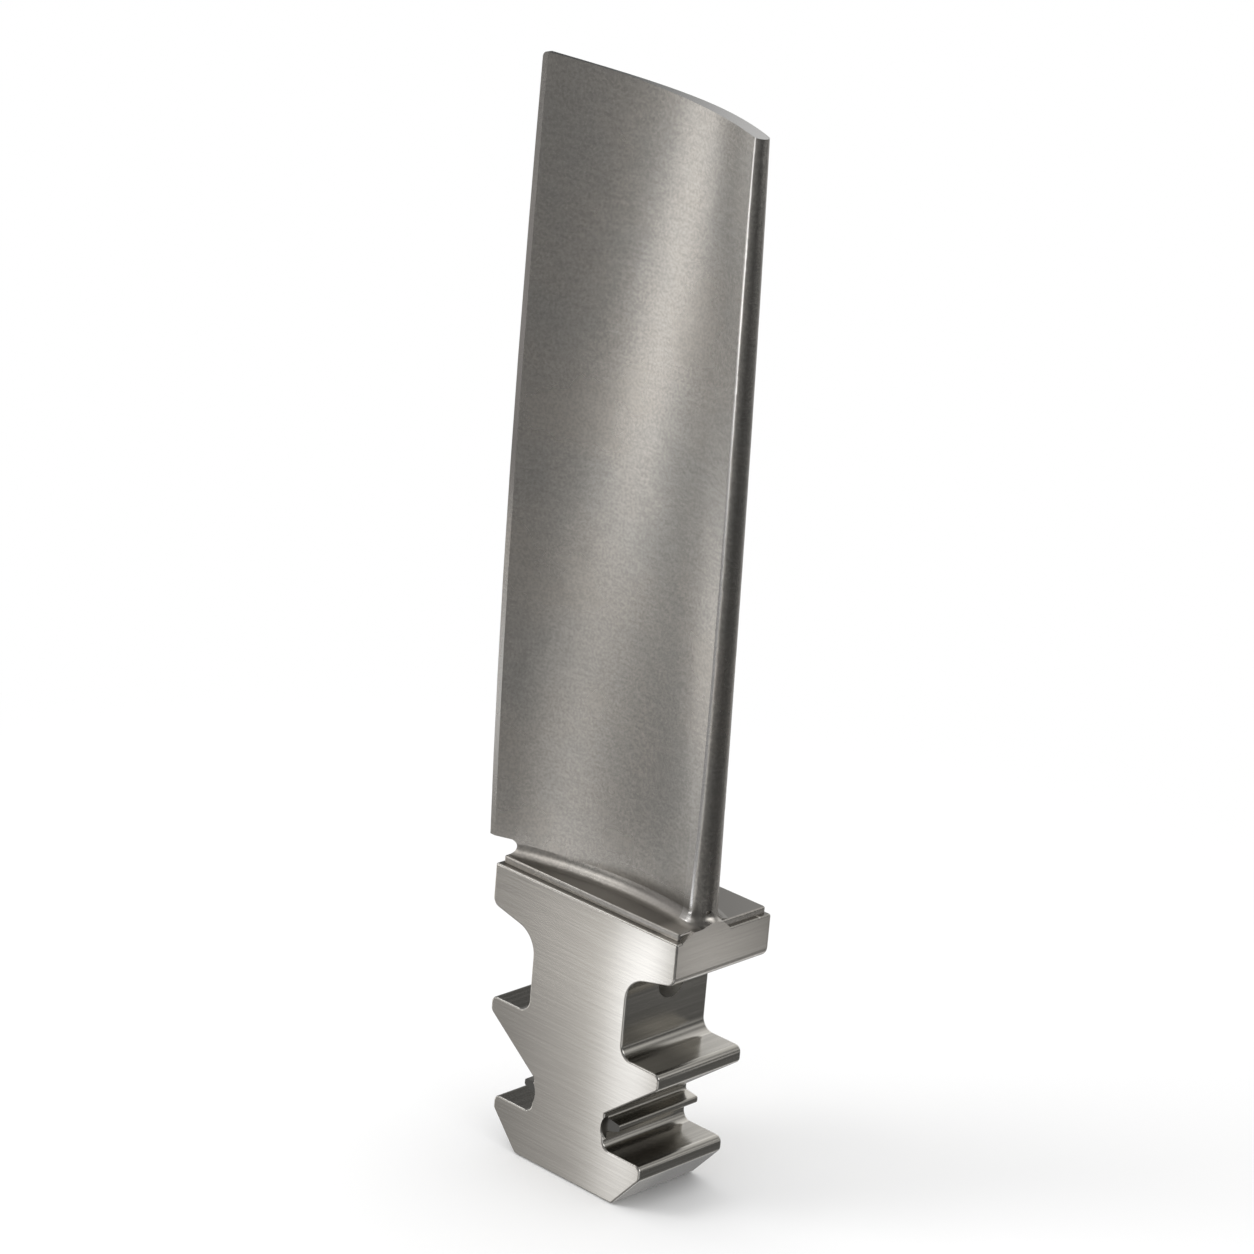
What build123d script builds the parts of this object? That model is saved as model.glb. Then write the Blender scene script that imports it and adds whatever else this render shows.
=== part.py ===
from build123d import *
import os
from math import radians, tan

os.makedirs("parts", exist_ok=True)

# Axes: Z along the span, X across the fir tree, Y along the slot of the disc.
# The origin is the middle of the flat base of the root, and the profiled front faces -Y.

# Root and platform
root_depth = 53.7
root_length = 21.4
platform_width = 45.0
platform_side = 7.9
underside_angle = 13.0
rear_overhang = 3.1
rear_rounding = 0.9
overhang_thickness = 9.4
neck_width = 23.2
lower_neck_width = 18.0
base_width = 24.8

# Lobes: width, depth of the upper bearing flank below the platform top, height of the tip face,
# and the pitch from the upper bearing flank down to the lower one
lobe_width = 42.0
lobe_flank_depth = 25.4
lobe_tip = 2.9
lobe_pitch = 18.8
lower_lobe_width = 37.0
lower_lobe_tip = 2.6
relief_angle = 37.0

# Ridge that runs along each lower neck. Its foot and its tip lie between two levels each, given as
# shares of the neck's straight height above the lower bearing flank.
ridge_projection = 3.0
ridge_foot_shares = (0.47, 0.85)
ridge_tip_shares = (0.6125, 0.7875)

# Roundings of the profile and the break of its end edges
underside_fillet = 5.0
flank_fillet = 2.4
lower_flank_fillet = 1.7
lobe_rounding = 1.25
base_rounding = 1.0
platform_rounding = 1.8
ridge_rounding = 0.45
edge_break = 0.35

# Round recess at the front end of each lower neck
recess_depth = 1.0
recess_undercut = 0.7
recess_radius = 3.9

# Blind hole in the right side of the neck
hole_diameter = 6.6
hole_depth = 9.0
hole_below_top = 13.5
hole_from_middle = 1.0
drill_angle = 118.0

# Raised pad that carries the airfoil, with a run-out flush with the platform's right side
pad_height = 1.4
pad_side_ledge = 0.7
pad_end_ledge = 1.2
pad_corner = 0.5
run_out_front_gap = 1.4
run_out_front_angle = 27.0
run_out_back_gap = 11.0
run_out_back_angle = 41.0

# Airfoil sections, evenly spaced from the platform top to a little above the tip.
# The nose is set back from the platform's right side, and the trailing edge overhangs its left side.
airfoil_height = 146.1
tip_stock = 3.9
nose_setback = (3.6, 2.4, 1.8, 1.1)
nose_y = (-1.2, -3.0, -5.1, -7.5)
nose_radius = (2.9, 2.15, 1.85, 1.25)
trailing_overhang = (3.4, 4.7, 4.9, 4.7)
trailing_y = (-8.7, -9.3, -9.5, -9.1)
trailing_thickness = (1.8, 1.6, 1.5, 1.4)
hollow_depth = (3.2, 3.9, 4.6, 5.2)
bulge_depth = (6.4, 5.9, 5.6, 4.9)
bulge_skew = 0.35
bevel_width = 1.2
bevel_drop = 0.5

# Tip, foot fillet and the relief slot under the trailing edge
tip_slope = 6.1
tip_corner = 1.0
foot_fillet = 2.3
slot_height = 2.7
slot_reach = 2.0

# How far an added piece or a cut runs into or past the metal
overlap = 0.5

# Levels and limits that follow
platform_top = root_depth
flank = platform_top - lobe_flank_depth
lower_flank = flank - lobe_pitch
pad_top = platform_top + pad_height
slot_top = pad_top + slot_height
right_side = platform_width / 2
left_side = -platform_width / 2
front_face = -root_length / 2
back_face = root_length / 2
platform_back = back_face + rear_overhang
section_count = len(nose_radius)
section_spacing = (airfoil_height + tip_stock) / (section_count - 1)
section_shares = (0.2, 0.4, 0.6, 0.8)
clear = 1.5 * platform_width


def half_profile():
    """Corners of the right half, from the platform top to the base: x, z and rounding."""
    neck = neck_width / 2
    lower_neck = lower_neck_width / 2
    lobe = lobe_width / 2
    lower_lobe = lower_lobe_width / 2
    relief_foot = flank - lobe_tip - (lobe - lower_neck) * tan(radians(relief_angle))
    straight = relief_foot - lower_flank
    underside = platform_top - platform_side
    underside_at_neck = underside - (right_side - neck) * tan(radians(underside_angle))
    ridge = lower_neck + ridge_projection
    foot = [lower_flank + straight * share for share in ridge_foot_shares]
    tip = [lower_flank + straight * share for share in ridge_tip_shares]
    return [
        (right_side, platform_top, edge_break),
        (right_side, underside, platform_rounding),
        (neck, underside_at_neck, underside_fillet),
        (neck, flank, flank_fillet),
        (lobe, flank, lobe_rounding),
        (lobe, flank - lobe_tip, lobe_rounding),
        (lower_neck, relief_foot, ridge_rounding),
        (lower_neck, foot[1], ridge_rounding),
        (ridge, tip[1], ridge_rounding),
        (ridge, tip[0], ridge_rounding),
        (lower_neck, foot[0], ridge_rounding),
        (lower_neck, lower_flank, lower_flank_fillet),
        (lower_lobe, lower_flank, lobe_rounding),
        (lower_lobe, lower_flank - lower_lobe_tip, lobe_rounding),
        (base_width / 2, 0, base_rounding),
    ]


def profile_face(half):
    """The closed profile, mirrored about the middle, in the XZ plane."""
    mirrored = [(-x, z, r) for x, z, r in reversed(half)]
    corners = half + mirrored
    outline = FilletPolyline(
        *[(x, z) for x, z, r in corners],
        radius=[r for x, z, r in corners],
        close=True,
    )
    return Plane.XZ * make_face(outline)


def along_slot(face, start, end):
    """A face of the XZ plane at y = 0, drawn out from start to end."""
    return extrude(Pos(0, start, 0) * face, end - start, dir=(0, 1, 0))


def box_between(x, y, z):
    """A box given by its limits in x, y and z."""
    low, high = zip(x, y, z)
    size = [b - a for a, b in zip(low, high)]
    middle = [(a + b) / 2 for a, b in zip(low, high)]
    return Pos(*middle) * Box(*size)


def platform_lip():
    """The overhang behind the root: the platform's sides, closed by a level underside."""
    top, side = half_profile()[:2]
    level = platform_top - overhang_thickness
    run = (side[1] - level) / tan(radians(underside_angle))
    face = profile_face([top, side, (right_side - run, level, platform_rounding)])
    lip = along_slot(face, back_face - overlap, platform_back)
    return fillet(lip.edges().group_by(Axis.Y)[-1], rear_rounding)


def recess(side):
    """Round recess at the front end of the lower neck, tangent to the lower bearing flank."""
    floor = lower_neck_width / 2 - recess_undercut
    centre = (side * (floor + recess_radius), lower_flank + recess_radius)
    disc = Plane.XZ * Pos(*centre) * Circle(recess_radius)
    return along_slot(disc, front_face - overlap, front_face + recess_depth)


def blind_hole():
    """Drilled hole with its conical end, square to the side of the neck."""
    radius = hole_diameter / 2
    cone = radius / tan(radians(drill_angle / 2))
    bottom = neck_width / 2 - hole_depth
    half_section = Polyline(
        (0, bottom - cone),
        (radius, bottom),
        (radius, right_side),
        (0, right_side),
        close=True,
    )
    drill = revolve(Plane.XY * make_face(half_section), Axis.Y)
    place = Pos(0, hole_from_middle, platform_top - hole_below_top)
    return place * Rot(0, 0, -90) * drill


def root_body():
    """The root and platform in one piece, with broken end edges, recesses and the hole."""
    body = along_slot(profile_face(half_profile()), front_face, back_face)
    ends = body.edges().group_by(Axis.Y)
    body = fillet(ends[0] + ends[-1], edge_break) + platform_lip()
    for side in (1, -1):
        body -= recess(side)
    return body - blind_hole()


def section(index):
    """Closed outline of the airfoil: nose arc, hollow face, trailing bevel and end, bulged face."""
    level = platform_top + index * section_spacing
    radius = nose_radius[index]
    widening = radius - trailing_thickness[index] / 2
    nose = Vector(right_side - nose_setback[index], nose_y[index], level)
    trail = Vector(left_side - trailing_overhang[index], trailing_y[index], level)
    chord = (nose - trail).length
    along = (nose - trail).normalized()
    across = Vector(0, 0, 1).cross(along)

    def half_thickness(part):
        return trailing_thickness[index] / 2 + widening * part

    def hollow(part):
        return 4 * hollow_depth[index] * part * (1 - part) - half_thickness(part)

    def hollow_rise(part):
        return 4 * hollow_depth[index] * (1 - 2 * part) - widening

    def bulge(part):
        skew = 1 + bulge_skew * (2 * part - 1)
        return 4 * bulge_depth[index] * part * (1 - part) * skew + half_thickness(part)

    def bulge_rise(part):
        skew = 1 + bulge_skew * (2 * part - 1)
        lean = 2 * bulge_skew * part * (1 - part)
        return 4 * bulge_depth[index] * ((1 - 2 * part) * skew + lean) + widening

    def at(part, offset):
        """Point at a share of the chord from the trailing edge, off the chord line."""
        return trail + along * chord * part + across * offset

    def heading(rise):
        """Direction of a face, towards the nose, that rises so much over a chord."""
        return (along * chord + across * rise).normalized()

    under = heading(hollow_rise(1))
    over = heading(bulge_rise(1))
    nose_low = nose - Vector(0, 0, 1).cross(under) * radius
    nose_high = nose + Vector(0, 0, 1).cross(over) * radius
    bevel = bevel_width / chord
    bevel_top = at(bevel, hollow(bevel))
    end_low = at(0, hollow(0) + bevel_drop)
    end_high = at(0, bulge(0))
    outline = [
        ThreePointArc(nose_high, nose + along * radius, nose_low),
        Spline(
            bevel_top,
            *[at(part, hollow(part)) for part in section_shares],
            nose_low,
            tangents=(heading(hollow_rise(bevel)), under),
        ),
        Line(bevel_top, end_low),
        Line(end_low, end_high),
        Spline(
            end_high,
            *[at(part, bulge(part)) for part in section_shares],
            nose_high,
            tangents=(heading(bulge_rise(0)), over),
        ),
    ]
    return Face(Wire(outline))


def footed_airfoil():
    """The airfoil on a wide slab whose top is the pad's, joined by the foot fillet.

    The trailing bevel is cut off below the slot's top, where the slot leaves none of it.
    """
    airfoil = loft([section(i) for i in range(section_count)])
    tail = (-clear, left_side - trailing_overhang[0] + 1.5 * bevel_width)
    airfoil -= box_between(tail, (-clear, clear), (platform_top - overlap, slot_top))
    slab = box_between((-clear, clear), (-clear, clear), (platform_top - overlap, pad_top))
    footed = slab + airfoil
    level_faces = footed.faces().filter_by(Plane.XY)
    pad_face = level_faces.filter_by(lambda face: face.inner_wires())[0]
    return fillet(pad_face.inner_wires()[0].edges(), foot_fillet)


def run_out():
    """Triangular run-out of the pad to the platform's right side."""
    front = front_face + run_out_front_gap
    back = platform_back - run_out_back_gap
    front_rise = tan(radians(run_out_front_angle))
    back_rise = tan(radians(run_out_back_angle))
    peak = (back - front) * front_rise * back_rise / (front_rise + back_rise)
    corners = Polyline(
        (front, platform_top),
        (front + peak / front_rise, platform_top + peak),
        (back, platform_top),
        (back, platform_top - overlap),
        (front, platform_top - overlap),
        close=True,
    )
    inner = right_side - pad_side_ledge - overlap
    side = Plane.YZ * make_face(corners)
    return extrude(Pos(inner, 0, 0) * side, right_side - inner, dir=(1, 0, 0))


def relief_slot():
    """Slot with a round end that frees the trailing edge from the pad, open to the left."""
    radius = slot_height / 2
    centre = left_side + slot_reach - radius
    tunnel = box_between((-clear, centre), (-clear, clear), (pad_top, slot_top))
    disc = Plane.XZ * Pos(centre, pad_top + radius) * Circle(radius)
    return tunnel + along_slot(disc, -clear, clear)


def pad_and_foot(footed):
    """The pad with the foot of the airfoil trimmed to it, and the run-out at the right."""
    x = (left_side + pad_side_ledge, right_side - pad_side_ledge)
    y = (front_face + pad_end_ledge, platform_back - pad_end_ledge)
    pad = box_between(x, y, (platform_top - overlap, pad_top))
    pad = fillet(pad.edges().filter_by(Axis.Z), pad_corner)
    pad = fillet(pad.edges().group_by(Axis.Z)[-1], edge_break)
    x_flat = (x[0] + edge_break, x[1] - edge_break)
    y_flat = (y[0] + edge_break, y[1] - edge_break)
    foot = footed & box_between(x_flat, y_flat, (pad_top, slot_top))
    return pad + (foot - relief_slot()) + (footed & run_out())


def tip_cutter():
    """All that lies above the slanted tip."""
    trailing_corner = Pos(left_side - trailing_overhang[-1], 0, platform_top + airfoil_height)
    block = box_between((-clear, 2 * clear), (-clear, clear), (0, clear))
    return trailing_corner * Rot(0, tip_slope, 0) * block


def free_airfoil(footed):
    """The airfoil above the relief slot, cut at the tip and rounded at its trailing corner."""
    top = platform_top + airfoil_height + tip_stock
    airfoil = footed & box_between((-clear, clear), (-clear, clear), (slot_top, top))
    airfoil -= tip_cutter()
    tip = airfoil.faces().sort_by(Axis.Z)[-1]
    return fillet(tip.edges().sort_by(Axis.X)[0], tip_corner)


def turbine_blade():
    """The whole blade: root, platform, pad and airfoil in one piece."""
    footed = footed_airfoil()
    return root_body() + pad_and_foot(footed) + free_airfoil(footed)


blade = turbine_blade()
export_step(blade, "parts/blade.step")
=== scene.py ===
from math import cos, radians, sin
from types import SimpleNamespace

import bpy
from mathutils import Matrix, Vector

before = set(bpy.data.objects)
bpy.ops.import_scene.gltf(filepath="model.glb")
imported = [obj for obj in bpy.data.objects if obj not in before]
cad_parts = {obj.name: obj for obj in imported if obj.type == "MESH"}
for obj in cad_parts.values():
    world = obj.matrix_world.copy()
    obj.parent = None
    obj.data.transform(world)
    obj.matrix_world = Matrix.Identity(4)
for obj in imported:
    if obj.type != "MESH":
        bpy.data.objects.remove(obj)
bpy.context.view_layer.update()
scene = bpy.context.scene
MM = 0.001


def mm(*lengths):
    return tuple(length * MM for length in lengths)


# Camera, at the photograph's viewing angle
AZIMUTH = radians(42.7)
ELEVATION = radians(18.8)
ROLL = radians(4.9)
DISTANCE = 697.3 * MM
TARGET = Vector(mm(-5.19, -0.3, 101.6))
TOWARD_CAMERA = Vector((
    sin(AZIMUTH) * cos(ELEVATION),
    -cos(AZIMUTH) * cos(ELEVATION),
    sin(ELEVATION),
))
CAMERA_PLACE = TARGET + TOWARD_CAMERA * DISTANCE
FOCAL_PIXELS = 4000.0
PHOTO_PIXELS = 1254.0
SENSOR_WIDTH = 36.0
CLIP_START = 0.01
CLIP_END = 20.0

# Heights on the blade
PLATFORM_TOP = 53.7 * MM
PAD_TOP = 55.1 * MM
ROOT_TOP = PLATFORM_TOP + 0.1 * MM
SEAT_HEIGHTS = (PLATFORM_TOP - 0.5 * MM, PAD_TOP + 1.0 * MM)
PLATFORM_HEIGHTS = mm(44.0, 57.8)
FLANKS_BELOW = 45.0 * MM
UNDERSIDES_BELOW = 9.0 * MM
TIP_ABOVE = 120.0 * MM
NOSE_LINE_ABOVE = 55.6 * MM

# Ends, sides and broken edges of the root and the platform
ENDS_BEYOND = 10.6 * MM
BROKEN_EDGES = mm(10.3, 10.75)
SIDES_BEYOND = 22.3 * MM

# Blind hole in the right side of the neck
HOLE_MIDDLE = 1.0 * MM
HOLE_REACH = 3.35 * MM
HOLE_DEPTHS = mm(0.0, 11.55)
HOLE_HEIGHTS = mm(36.0, 44.0)

# Parts of the airfoil: a band is a middle and a reach, a course is where it starts and where it is full
# Where the painted highlight along the nose lies
NOSE_LINE_BEYOND = 17.0 * MM
NOSE_LINE_BAND = (0.0, 0.18)
# Where the painted shade in the fillet at the airfoil's foot lies
FOOT_BAND = mm(56.7, 3.3)
FOOT_COURSE = mm(-6.0, 8.0)
FOOT_TURNED = (0.3, 0.7)
TIP_TURNED = (0.5, 0.8)
# Where the painted shade on the upper bevel and the painted highlight on the lower bevel lie
BEVEL_BEFORE = -20.0 * MM
BEVEL_TURNED = (0.1, 0.25)
UPPER_BEVEL_COURSE = mm(108.0, 132.0)
NEAR_TIP_COURSE = mm(155.0, 200.0)
LOWER_BEVEL_BAND = mm(84.0, 30.0)

# Courses along the root, and how squarely a face has to look along an axis
FACING = (0.8, 0.97)
HOLLOW_FACING = -0.5
DOWNWARD = (0.3, 0.6)
# Where the painted shade on the right flanks and under the lowest lobes fades
SHADED_COURSE = mm(-4.0, 5.0)
UNDERSIDE_COURSE = mm(-9.0, 0.0)
# Where the painted light on the seat's front right corner lies
CORNER_COURSE = mm(16.0, 19.0)
CORNER_BEFORE = -4.5 * MM

# Fine textures: how often each varies in a metre, and its turn about Y
BRUSHED_STRETCH = (80, 80, 2900)
BRUSHED_TURN = radians(4)
BROACHED_STRETCH = (2000, 40, 2000)
CHORDWISE_STRETCH = (300, 300, 1600)
CHORDWISE_TURN = radians(15)
GRAIN_SCALE = 2050.0
CLOUD_SCALE = 55.0
CONTRAST = (0.3, 0.7)
CHORDWISE_CONTRAST = (0.35, 0.7)

# Colours of the metal, and the light and shade painted on it
BRUSHED_LOW = (0.64, 0.605, 0.555, 1)
BRUSHED_HIGH = (0.71, 0.675, 0.62, 1)
BROACHED_LOW = (0.385, 0.37, 0.335, 1)
BROACHED_HIGH = (0.455, 0.435, 0.40, 1)
BLASTED_LOW = (0.475, 0.46, 0.43, 1)
BLASTED_HIGH = (0.53, 0.495, 0.45, 1)
GRAIN_COLOUR = (0.37, 0.35, 0.325, 1)
CHORDWISE_COLOUR = (0.68, 0.65, 0.61, 1)
# Painted shade in the fillet at the airfoil's foot
FOOT_COLOUR = (0.15, 0.14, 0.13, 1)
# Painted highlight along the nose's edge on the hollow side
NOSE_LINE_COLOUR = (0.72, 0.70, 0.68, 1)
# Painted shade on the upper part of the trailing-edge bevel
UPPER_BEVEL_COLOUR = (0.16, 0.15, 0.143, 1)
# Painted highlight on the lower part of the trailing-edge bevel
LOWER_BEVEL_COLOUR = (0.92, 0.89, 0.85, 1)
# Painted shade on the tip's upward face
TIP_COLOUR = (0.30, 0.295, 0.285, 1)
SHADED_COLOUR = (0.06, 0.058, 0.053, 1)
# Painted shade on the downward faces of the lowest lobes, darker towards the back
UNDERSIDE_COLOUR = (0.10, 0.095, 0.09, 1)
# Painted shade on the level tops of the platform and the pad
SEAT_COLOUR = (0.21, 0.20, 0.185, 1)
# Painted light on the seat at the front right corner
CORNER_COLOUR = (0.42, 0.40, 0.375, 1)
# Painted shade in the recessed end faces of the root
RECESS_COLOUR = (0.15, 0.145, 0.135, 1)
# Painted highlight on the broken edges at the root's ends
BROKEN_COLOUR = (0.62, 0.60, 0.565, 1)

# Shares of the colours that don't cover fully, and of the metal that the hole loses
GRAIN_SHARE = 0.6
CHORDWISE_SHARE = 0.14
FOOT_SHARE = 0.8
UPPER_BEVEL_SHARE = 0.97
NEAR_TIP_SHARE = 0.45
SHADED_SHARE = 0.65
UNDERSIDE_SHARE = 0.65
HOLE_SHARE = 0.8

# Roughness
BROACHED_ROUGHNESS = (0.18, 0.23)
BLASTED_ROUGHNESS = (0.25, 0.29)
BRUSHED_ROUGHNESS = (0.14, 0.18)
FOOT_ROUGHNESS = 0.36
NOSE_LINE_ROUGHNESS = 0.20
SEAT_ROUGHNESS = 0.40
RECESS_ROUGHNESS = 0.40
BRUSHING_DIRECTION = 0.25

# Relief: the height of each texture, as a share of the bump's distance
BROACHED_RELIEF = 0.03
GRAIN_RELIEF = 0.03
BRUSHED_RELIEF = 0.02
BUMP_DISTANCE = 0.006 * MM

# Floor and background
FLOOR_SIZE = 4.0
FLOOR_HEIGHT = -0.2 * MM
FLOOR_COLOUR = (0.92, 0.92, 0.92, 1)
FLOOR_FADE = (0.06, 0.26)
WHITE = (1, 1, 1, 1)
SEEN_STRENGTH = 1.0
LIGHT_STRENGTH = 1.03

# Dome that the metal reflects: its brightness by azimuth, from -Y towards +X, in degrees
DOME_RADIUS = 0.5
DOME_MIDDLE = Vector((0, 0, 0.1))
LOW_LEVELS = (
    (-180, 0.5), (-140, 0.32), (-110, 0.28), (-85, 0.42), (-60, 0.32), (-15, 0.25), (0, 0.24),
    (20, 0.18), (40, 0.13), (60, 0.09), (110, 0.09), (150, 0.2), (180, 0.5),
)
HIGH_LEVELS = (
    (-180, 1.0), (-142.5, 1.35), (-137.5, 0.06), (-130, 0.15), (-95, 0.2), (-70, 0.4),
    (0, 0.3), (60, 0.15), (110, 0.15), (145, 0.25), (165, 0.9), (180, 1.0),
)
LOW_TO_HIGH = (-6.0, 14.0)

# Soft strip on the dome: its azimuth and its brightness by elevation, in degrees
STRIP_COURSE = (
    (-40, -20), (-24, -20), (-19, -22), (-15.7, -28), (-12.8, -35), (-9.7, -41), (-6.2, -48),
    (-2.6, -57), (8, -68),
)
STRIP_LEVELS = (
    (-60, 0.0), (-34, 0.3), (-28, 0.7), (-25, 0.9), (-20, 0.55), (-17, 0.9), (-14.5, 1.8),
    (-11, 2.3), (-6, 2.3), (-2, 2.1), (3, 0.6), (9, 0.0), (60, 0.0),
)
STRIP_RIGHT = 8.5
STRIP_LEFT = 6.0
STRIP_EDGE = (0.3, 1.6)

# Patches on the dome: the band of azimuth, the band of elevation, in degrees, and the brightness
LEFT_PATCH = ((-73.0, 17.0), (-25.0, 12.0), 2.2)
FAR_LEFT_PATCH = ((-89.0, 13.0), (-6.0, 14.0), 1.3)
HIGH_SCREEN = ((-70.0, 15.0), (45.0, 11.0), 3.0)
RIGHT_LAMP = ((108.0, 42.0), (20.0, 21.0), 2.5)

# Bright table behind and below, which the undersides show
TABLE_AZIMUTH = (163.0, 173.0)
TABLE_ELEVATION = (-52.0, -42.0)
TABLE_LEVEL = 0.7

# Cards that the brushed faces mirror: two corners of each face, and the brightness across it, in mm
FRONT_CORNERS = ((-24, -10.7, -3), (26, -10.7, 56.0))
FRONT_LEVELS = (
    (-24, 0.34), (-19.5, 0.36), (-13.5, 0.43), (-7.5, 0.53), (-1.5, 0.62), (4.5, 0.74),
    (8, 0.95), (11, 1.5), (17.5, 1.8), (20, 1.2), (23, 0.6), (26, 0.3),
)
SIDE_CORNERS = ((22.5, -14, 43.0), (22.5, 18, 55.0))
SIDE_LEVELS = ((-14, 0.5), (-9, 0.65), (-3, 0.75), (3, 0.66), (12, 0.45), (18, 0.3))
SLANTED_CORNERS = ((-7.5, -40.7, -8), (52.5, 19.3, 42))
SLANTED_LEVELS = ((-30, 0.4), (0, 0.65), (30, 0.5))

# Share of a card's brightness from its bottom, 0, to its top, 1
FRONT_FADE = ((0, 0.6), (0.48, 0.84), (0.82, 1.0), (0.95, 1.3), (0.97, 0.72), (1, 0.7))
EVEN_FADE = ((0, 0.9), (1, 1.0))
CARD_GAP = 50 * MM
CARD_EDGE = 2 * MM
CARD_TINT = (0.965, 1.0, 1.05, 1)
TINTED_LEVELS = (0.7, 1.5)

# Key light from the upper left
KEY_PLACE = Vector((-0.46, -0.62, 0.62))
KEY_AIM = Vector((0, 0, 0.08))
KEY_SIZE = (0.35, 0.45)
KEY_POWER = 2.5


class Nodes:
    """A short way to write a node tree."""

    def __init__(self, tree):
        self.tree = tree
        tree.nodes.clear()

    def add(self, kind, inputs=None, **settings):
        """A node. Each of its inputs is a plain value, a socket or a node."""
        node = self.tree.nodes.new(kind)
        for name, value in settings.items():
            setattr(node, name, value)
        for key, value in (inputs or {}).items():
            if isinstance(value, bpy.types.Node):
                value = value.outputs[0]
            if isinstance(value, bpy.types.NodeSocket):
                self.tree.links.new(value, node.inputs[key])
            else:
                node.inputs[key].default_value = value
        return node

    def math(self, operation, a, b=0.0, c=0.0):
        return self.add("ShaderNodeMath", {0: a, 1: b, 2: c}, operation=operation).outputs[0]

    def product(self, first, *others):
        for other in others:
            first = self.math("MULTIPLY", first, other)
        return first

    def rest(self, share):
        return self.math("SUBTRACT", 1.0, share)

    def over(self, value, limit):
        return self.math("GREATER_THAN", value, limit)

    def under(self, value, limit):
        return self.math("LESS_THAN", value, limit)

    def between(self, value, low, high):
        return self.product(self.over(value, low), self.under(value, high))

    def size(self, value):
        return self.math("ABSOLUTE", value)

    def step(self, value, low, high):
        """0 below low, 1 above high, smooth between."""
        inputs = {0: value, 1: low, 2: high}
        return self.add("ShaderNodeMapRange", inputs, interpolation_type="SMOOTHSTEP").outputs[0]

    def bell(self, value, middle, reach):
        """1 at the middle, falling smoothly to 0 at the reach on both sides."""
        off = self.size(self.math("SUBTRACT", value, middle))
        return self.rest(self.step(off, 0.0, reach))

    def mix(self, share, a, b):
        return self.add("ShaderNodeMix", {0: share, 2: a, 3: b}, data_type="FLOAT").outputs[0]

    def mix_colour(self, share, a, b):
        return self.add("ShaderNodeMix", {0: share, 6: a, 7: b}, data_type="RGBA").outputs[2]

    def coats(self, base, *coats):
        """The base colour under coats, each given as its share and its colour."""
        for share, colour in coats:
            base = self.mix_colour(share, base, colour)
        return base

    def noise(self, vector, scale=1.0, detail=2.0, roughness=0.5):
        inputs = {"Vector": vector, "Scale": scale, "Detail": detail, "Roughness": roughness}
        return self.add("ShaderNodeTexNoise", inputs).outputs["Fac"]

    def stretched(self, vector, scale, turn=0.0):
        """The vector scaled along each axis and then turned about Y."""
        inputs = {"Vector": vector, "Scale": scale, "Rotation": (0, turn, 0)}
        return self.add("ShaderNodeMapping", inputs).outputs[0]

    def ramp(self, value, points):
        """A course of levels along a value, straight between its (value, level) points."""
        start, reach = points[0][0], points[-1][0] - points[0][0]
        base = min(level for at, level in points)
        span = max(level for at, level in points) - base
        share = self.math("DIVIDE", self.math("SUBTRACT", value, start), reach)
        node = self.add("ShaderNodeValToRGB", {"Fac": share})
        band = node.color_ramp
        band.interpolation = "LINEAR"
        for at, level in points[1:-1]:
            band.elements.new((at - start) / reach)
        for element, (at, level) in zip(band.elements, points):
            element.color = ((level - base) / span,) * 3 + (1,)
        return self.math("MULTIPLY_ADD", node.outputs[0], span, base)


def new_material(name):
    material = bpy.data.materials.new(name)
    material.use_nodes = True
    return material, Nodes(material.node_tree)


def make_camera():
    level = Vector((cos(AZIMUTH), sin(AZIMUTH), 0))
    upright = TOWARD_CAMERA.cross(level)
    right = cos(ROLL) * level + sin(ROLL) * upright
    up = -sin(ROLL) * level + cos(ROLL) * upright
    data = bpy.data.cameras.new("camera")
    data.sensor_width = SENSOR_WIDTH
    data.lens = SENSOR_WIDTH * FOCAL_PIXELS / PHOTO_PIXELS
    data.clip_start = CLIP_START
    data.clip_end = CLIP_END
    camera = bpy.data.objects.new("camera", data)
    turn = Matrix((right, up, TOWARD_CAMERA)).transposed().to_4x4()
    camera.matrix_world = Matrix.Translation(CAMERA_PLACE) @ turn
    scene.collection.objects.link(camera)
    scene.camera = camera


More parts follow.
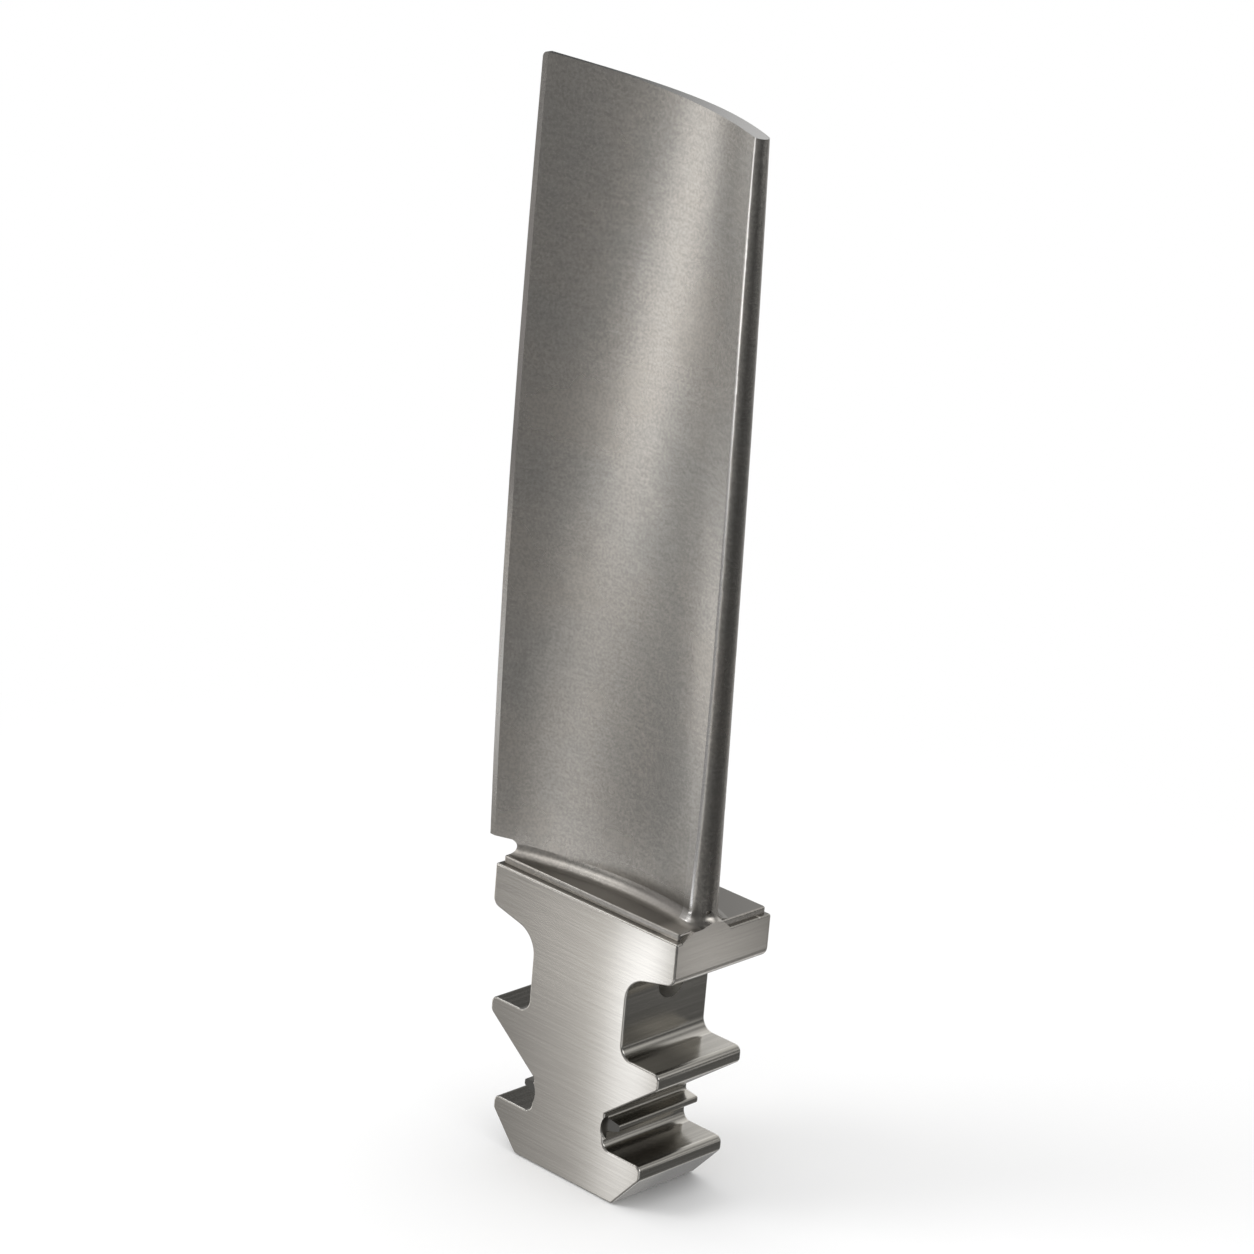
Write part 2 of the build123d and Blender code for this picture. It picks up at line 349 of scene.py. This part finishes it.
def blade_regions(n, place, facing):
    """Masks of the blade's regions, from the place of a point and the way its face looks."""
    x, y, z = n.add("ShaderNodeSeparateXYZ", {"Vector": place}).outputs
    right, back, up = n.add("ShaderNodeSeparateXYZ", {"Vector": facing}).outputs
    mask = SimpleNamespace()

    # Root, platform and pad
    root = n.under(z, ROOT_TOP)
    endways = n.step(n.size(back), *FACING)
    end_face = n.product(root, n.over(n.size(y), ENDS_BEYOND), endways)
    sideways = n.step(n.size(right), *FACING)
    sides = n.product(n.over(n.size(x), SIDES_BEYOND), sideways)
    platform_side = n.product(n.between(z, *PLATFORM_HEIGHTS), sides)
    level_top = n.step(up, *FACING)
    flank = n.product(level_top, root, n.under(z, FLANKS_BELOW), n.over(x, 0.0))
    undersides = n.product(n.step(n.product(up, -1.0), *DOWNWARD), n.under(z, UNDERSIDES_BELOW))
    beside_hole = n.under(n.size(n.math("SUBTRACT", y, HOLE_MIDDLE)), HOLE_REACH)
    mask.plain = n.math("MAXIMUM", end_face, platform_side)
    # Painted shade in the recessed end faces, which are also rougher
    mask.recessed = n.product(n.math("SUBTRACT", root, end_face), endways)
    # Painted highlight on the broken edges at the root's ends
    mask.broken = n.product(root, n.between(n.size(y), *BROKEN_EDGES))
    # Painted shade on the level tops of the platform and the pad, which are also rougher
    mask.seat = n.product(level_top, n.between(z, *SEAT_HEIGHTS))
    # Painted light patch on the seat at the front right corner
    mask.corner = n.product(n.step(x, *CORNER_COURSE), n.under(y, CORNER_BEFORE))
    mask.shaded = n.product(flank, n.rest(n.step(y, *SHADED_COURSE)))
    # Painted shade under the lowest lobes, darker towards the back
    mask.underside = n.product(undersides, n.step(y, *UNDERSIDE_COURSE))
    mask.hole = n.product(beside_hole, n.between(x, *HOLE_DEPTHS), n.between(z, *HOLE_HEIGHTS))

    # Airfoil
    airfoil = n.rest(root)
    hollow_side = n.product(airfoil, n.under(back, HOLLOW_FACING))
    near_nose = n.product(n.step(x, *FOOT_COURSE), n.rest(n.step(right, *FOOT_TURNED)))
    nose = n.product(n.over(x, NOSE_LINE_BEYOND), n.over(z, NOSE_LINE_ABOVE))
    bevel = n.product(hollow_side, n.under(x, BEVEL_BEFORE), n.rest(n.step(right, *BEVEL_TURNED)))
    near_tip = n.product(n.step(z, *NEAR_TIP_COURSE), NEAR_TIP_SHARE)
    upper = n.product(n.step(z, *UPPER_BEVEL_COURSE), UPPER_BEVEL_SHARE, n.rest(near_tip))
    mask.airfoil = airfoil
    # Painted shade in the fillet at the foot, near the nose; the fillet is also rougher there
    mask.foot = n.product(airfoil, n.bell(z, *FOOT_BAND), near_nose)
    # Painted highlight along the nose's edge on the hollow side
    mask.nose_line = n.product(hollow_side, n.bell(right, *NOSE_LINE_BAND), nose)
    # Painted shade on the upper bevel, fading near the tip
    mask.upper_bevel = n.product(bevel, upper)
    # Painted highlight on the lower bevel
    mask.lower_bevel = n.product(bevel, n.bell(z, *LOWER_BEVEL_BAND))
    # Painted shade on the tip's upward face
    mask.tip = n.product(n.over(z, TIP_ABOVE), n.step(up, *TIP_TURNED))
    return mask


def blade_textures(n, place):
    """Brushing on the ends, broaching along the grooves and blasting on the airfoil."""
    return SimpleNamespace(
        brushed=n.noise(n.stretched(place, BRUSHED_STRETCH, BRUSHED_TURN)),
        broached=n.noise(n.stretched(place, BROACHED_STRETCH)),
        grain=n.noise(place, GRAIN_SCALE, detail=1.0),
        chordwise=n.noise(n.stretched(place, CHORDWISE_STRETCH, CHORDWISE_TURN), detail=1.0),
        cloud=n.noise(place, CLOUD_SCALE, detail=3.0, roughness=0.55),
    )


def blade_colour(n, mask, texture):
    brushed = n.mix_colour(n.step(texture.brushed, *CONTRAST), BRUSHED_LOW, BRUSHED_HIGH)
    broached = n.mix_colour(n.step(texture.broached, *CONTRAST), BROACHED_LOW, BROACHED_HIGH)
    broached = n.coats(
        broached,
        (n.product(mask.shaded, SHADED_SHARE), SHADED_COLOUR),
        # Painted shade under the lowest lobes
        (n.product(mask.underside, UNDERSIDE_SHARE), UNDERSIDE_COLOUR),
    )
    blasted = n.mix_colour(n.step(texture.cloud, *CONTRAST), BLASTED_LOW, BLASTED_HIGH)
    chordwise = n.step(texture.chordwise, *CHORDWISE_CONTRAST)
    blasted = n.coats(
        blasted,
        (n.product(n.step(texture.grain, *CONTRAST), GRAIN_SHARE), GRAIN_COLOUR),
        (n.product(chordwise, CHORDWISE_SHARE), CHORDWISE_COLOUR),
        # Painted shade at the foot
        (n.product(mask.foot, FOOT_SHARE), FOOT_COLOUR),
        # Painted highlight along the nose
        (mask.nose_line, NOSE_LINE_COLOUR),
        # Painted shade on the upper bevel
        (mask.upper_bevel, UPPER_BEVEL_COLOUR),
        # Painted highlight on the lower bevel
        (mask.lower_bevel, LOWER_BEVEL_COLOUR),
        # Painted shade on the tip's upward face
        (mask.tip, TIP_COLOUR),
    )
    return n.coats(
        broached,
        (mask.airfoil, blasted),
        # Painted shade on the level tops, with a painted light patch at the front right corner
        (mask.seat, n.mix_colour(mask.corner, SEAT_COLOUR, CORNER_COLOUR)),
        # Painted shade in the recesses
        (mask.recessed, RECESS_COLOUR),
        # Painted highlight on the broken edges
        (mask.broken, BROKEN_COLOUR),
        (mask.plain, brushed),
    )


def blade_roughness(n, mask, texture):
    broached = n.mix(texture.broached, *BROACHED_ROUGHNESS)
    blasted = n.mix(texture.cloud, *BLASTED_ROUGHNESS)
    brushed = n.mix(texture.brushed, *BRUSHED_ROUGHNESS)
    rough = n.mix(mask.airfoil, broached, blasted)
    rough = n.mix(mask.foot, rough, FOOT_ROUGHNESS)
    rough = n.mix(mask.nose_line, rough, NOSE_LINE_ROUGHNESS)
    rough = n.mix(mask.seat, rough, SEAT_ROUGHNESS)
    rough = n.mix(mask.recessed, rough, RECESS_ROUGHNESS)
    return n.mix(mask.plain, rough, brushed)


def blade_relief(n, mask, texture):
    broached = n.product(texture.broached, BROACHED_RELIEF)
    blasted = n.product(texture.grain, GRAIN_RELIEF)
    brushed = n.product(texture.brushed, BRUSHED_RELIEF)
    height = n.mix(mask.plain, n.mix(mask.airfoil, broached, blasted), brushed)
    return n.add("ShaderNodeBump", {"Height": height, "Strength": 1.0, "Distance": BUMP_DISTANCE})


def blade_material():
    material, n = new_material("blade_metal")
    where = n.add("ShaderNodeTexCoord")
    mask = blade_regions(n, where.outputs["Object"], where.outputs["Normal"])
    texture = blade_textures(n, where.outputs["Object"])
    shader = n.add("ShaderNodeBsdfPrincipled", {
        "Base Color": blade_colour(n, mask, texture),
        "Roughness": blade_roughness(n, mask, texture),
        "Normal": blade_relief(n, mask, texture),
        "Metallic": n.rest(n.product(mask.hole, HOLE_SHARE)),
        "Anisotropic": mask.plain,
        "Anisotropic Rotation": BRUSHING_DIRECTION,
        "Tangent": n.add("ShaderNodeTangent", direction_type="RADIAL", axis="Z"),
    })
    n.add("ShaderNodeOutputMaterial", {"Surface": shader})
    return material


def make_floor():
    """A pale floor that fades into the white background around the blade."""
    bpy.ops.mesh.primitive_plane_add(size=FLOOR_SIZE, location=(0, 0, FLOOR_HEIGHT))
    floor = bpy.context.object
    floor.name = "floor"
    material, n = new_material("floor_white")
    place = n.add("ShaderNodeTexCoord").outputs["Object"]
    far = n.add("ShaderNodeVectorMath", {"Vector": place}, operation="LENGTH").outputs["Value"]
    diffuse = n.add("ShaderNodeBsdfDiffuse", {"Color": FLOOR_COLOUR})
    white = n.add("ShaderNodeEmission", {"Strength": SEEN_STRENGTH})
    rays = n.add("ShaderNodeLightPath")
    share = n.product(n.step(far, *FLOOR_FADE), rays.outputs["Is Camera Ray"])
    blend = n.add("ShaderNodeMixShader", {0: share, 1: diffuse, 2: white})
    n.add("ShaderNodeOutputMaterial", {"Surface": blend})
    floor.data.materials.append(material)
    floor.visible_glossy = False


def make_world():
    """A white background, which also fills the shadows softly."""
    world = bpy.data.worlds.new("studio")
    scene.world = world
    world.use_nodes = True
    n = Nodes(world.node_tree)
    rays = n.add("ShaderNodeLightPath").outputs
    seen = n.math("MAXIMUM", rays["Is Camera Ray"], rays["Is Transmission Ray"])
    seen = n.math("MAXIMUM", seen, rays["Is Glossy Ray"])
    strength = n.mix(seen, LIGHT_STRENGTH, SEEN_STRENGTH)
    background = n.add("ShaderNodeBackground", {"Color": WHITE, "Strength": strength})
    n.add("ShaderNodeOutputWorld", {"Surface": background})


def show_in_reflections(thing, material, n, glow):
    """Gives a thing its glow and leaves it to reflections alone."""
    n.add("ShaderNodeOutputMaterial", {"Surface": glow})
    material.cycles.emission_sampling = "NONE"
    thing.data.materials.append(material)
    thing.visible_camera = False
    thing.visible_diffuse = False
    thing.visible_transmission = False
    thing.visible_shadow = False


def make_dome():
    """The walls, patches and soft strip that the metal reflects."""
    bpy.ops.mesh.primitive_uv_sphere_add(
        segments=64, ring_count=32, radius=DOME_RADIUS, location=DOME_MIDDLE
    )
    dome = bpy.context.object
    dome.name = "studio_dome"
    material, n = new_material("studio_walls")
    place = n.add("ShaderNodeTexCoord").outputs["Object"]
    unit = n.add("ShaderNodeVectorMath", {"Vector": place}, operation="NORMALIZE").outputs[0]
    x, y, z = n.add("ShaderNodeSeparateXYZ", {"Vector": unit}).outputs
    azimuth = n.math("DEGREES", n.math("ARCTAN2", x, n.product(y, -1.0)))
    rise = n.math("DEGREES", n.math("ARCSINE", z))
    low, high = n.ramp(azimuth, LOW_LEVELS), n.ramp(azimuth, HIGH_LEVELS)
    walls = n.mix(n.step(rise, *LOW_TO_HIGH), low, high)

    # Soft strip
    off = n.math("SUBTRACT", azimuth, n.ramp(rise, STRIP_COURSE))
    right, left = n.math("DIVIDE", off, STRIP_RIGHT), n.math("DIVIDE", off, -STRIP_LEFT)
    inside = n.rest(n.step(n.math("MAXIMUM", right, left), *STRIP_EDGE))
    bright = n.product(inside, n.ramp(rise, STRIP_LEVELS))

    # The screen shows in the broken front edges, and the lamp as a spot at the foot of the nose
    for across, upward, level in (LEFT_PATCH, FAR_LEFT_PATCH, HIGH_SCREEN, RIGHT_LAMP):
        patch = n.product(n.bell(azimuth, *across), n.bell(rise, *upward), level)
        bright = n.math("ADD", bright, patch)

    # Table
    behind = n.step(n.size(azimuth), *TABLE_AZIMUTH)
    table = n.product(behind, n.rest(n.step(rise, *TABLE_ELEVATION)), TABLE_LEVEL)
    bright = n.math("ADD", bright, table)
    glow = n.add("ShaderNodeEmission", {"Strength": n.math("ADD", walls, bright)})
    show_in_reflections(dome, material, n, glow)


def mirrored_point(point, toward):
    """Where the camera's ray, mirrored at a point of a face, meets the card in front of it."""
    ray = (point - CAMERA_PLACE).normalized()
    mirrored = ray - 2 * ray.dot(toward) * toward
    return point + mirrored * (CARD_GAP / mirrored.dot(toward))


def make_card(name, toward, corners, levels, fade):
    """An upright card that one brushed face mirrors, with a soft course of brightness."""
    low, high = [mirrored_point(Vector(mm(*corner)), toward) for corner in corners]
    across = Vector((0, 0, 1)).cross(toward).normalized()
    middle = toward * low.dot(toward)
    start, end = middle + across * low.dot(across), middle + across * high.dot(across)
    bottom, top = Vector((0, 0, low.z - CARD_EDGE)), Vector((0, 0, high.z + CARD_EDGE))
    mesh = bpy.data.meshes.new(name)
    mesh.from_pydata([start + bottom, end + bottom, end + top, start + top], [], [(0, 1, 2, 3)])
    uv = mesh.uv_layers.new(name="place")
    for loop, at in zip(uv.data, ((0, 0), (1, 0), (1, 1), (0, 1))):
        loop.uv = at
    card = bpy.data.objects.new(name, mesh)
    scene.collection.objects.link(card)
    material, n = new_material(name + "_glow")
    place = n.add("ShaderNodeTexCoord").outputs["UV"]
    sideways, upward, _ = n.add("ShaderNodeSeparateXYZ", {"Vector": place}).outputs
    left, right = levels[0][0], levels[-1][0]
    level = n.ramp(n.math("MULTIPLY_ADD", sideways, right - left, left), levels)
    level = n.product(level, n.ramp(upward, fade))
    tint = n.mix_colour(n.step(level, *TINTED_LEVELS), WHITE, CARD_TINT)
    glow = n.add("ShaderNodeEmission", {"Color": tint, "Strength": level})
    show_in_reflections(card, material, n, glow)


def make_key_light():
    data = bpy.data.lights.new("key", "AREA")
    data.shape = "RECTANGLE"
    data.size, data.size_y = KEY_SIZE
    data.energy = KEY_POWER
    lamp = bpy.data.objects.new("key", data)
    turn = (KEY_AIM - KEY_PLACE).to_track_quat("-Z", "Y").to_matrix().to_4x4()
    lamp.matrix_world = Matrix.Translation(KEY_PLACE) @ turn
    lamp.visible_camera = False
    scene.collection.objects.link(lamp)


make_camera()
make_world()
make_floor()
make_dome()
make_card("front_card", Vector((0, -1, 0)), FRONT_CORNERS, FRONT_LEVELS, FRONT_FADE)
make_card("side_card", Vector((1, 0, 0)), SIDE_CORNERS, SIDE_LEVELS, EVEN_FADE)
slanted = Vector((1, -1, 0)).normalized()
make_card("corner_card", slanted, SLANTED_CORNERS, SLANTED_LEVELS, EVEN_FADE)
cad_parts["blade"].data.materials.clear()
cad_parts["blade"].data.materials.append(blade_material())
make_key_light()

scene.view_settings.view_transform = "Standard"
